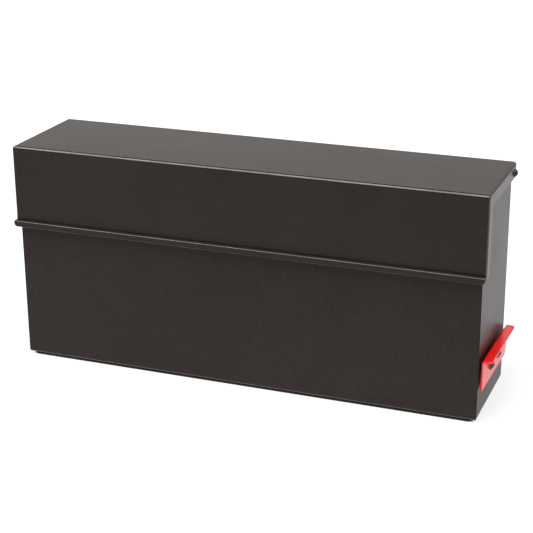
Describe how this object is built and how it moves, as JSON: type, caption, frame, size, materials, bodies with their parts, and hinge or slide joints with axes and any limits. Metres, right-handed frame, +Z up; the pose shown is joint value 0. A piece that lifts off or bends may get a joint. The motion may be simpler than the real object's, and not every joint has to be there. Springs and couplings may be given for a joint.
{
  "type": "hinged lid sheet metal box",
  "caption": "Long narrow sheet-steel box whose top and upper front open as one hinged cover; a small angle is screwed to one end.",
  "frame": {"origin": "middle of the underside of the bottom plate, the face the box stands on", "axes": "X along the box with the screwed-on angle at +X, Y from the front to the hinge side, Z up"},
  "size_m": [0.4155, 0.1008, 0.1894],
  "materials": {
    "black_paint": "satin black baked paint on sheet steel",
    "red_paint": "gloss red paint on sheet steel",
    "black_rivet": "black painted steel rivet",
    "black_screw": "black oxide steel screw",
    "zinc_steel": "zinc plated steel"
  },
  "bodies": {
    "box_body": {"front_wall": "black_paint", "left_end_wall": "black_paint", "right_end_wall": "black_paint", "back_panel": "black_paint", "bottom_plate": "black_paint", "hinge_rivets": "black_rivet", "hinge_spacers": "zinc_steel", "hinge_backing_washers": "zinc_steel", "side_angle": "red_paint", "angle_screws": "black_screw", "angle_spacers": "black_screw", "angle_inner_washers": "zinc_steel", "angle_nuts": "zinc_steel"},
    "lid": {"lid_top": "black_paint", "lid_front": "black_paint", "lid_left_flange": "black_paint", "lid_right_flange": "black_paint"}
  },
  "joints": [
    {"name": "lid_hinge", "type": "hinge", "parent": "box_body", "child": "lid", "pos_m": [0, 0.0403, 0.1826], "axis": [-1, 0, 0], "range_deg": [0, 92]}
  ]
}
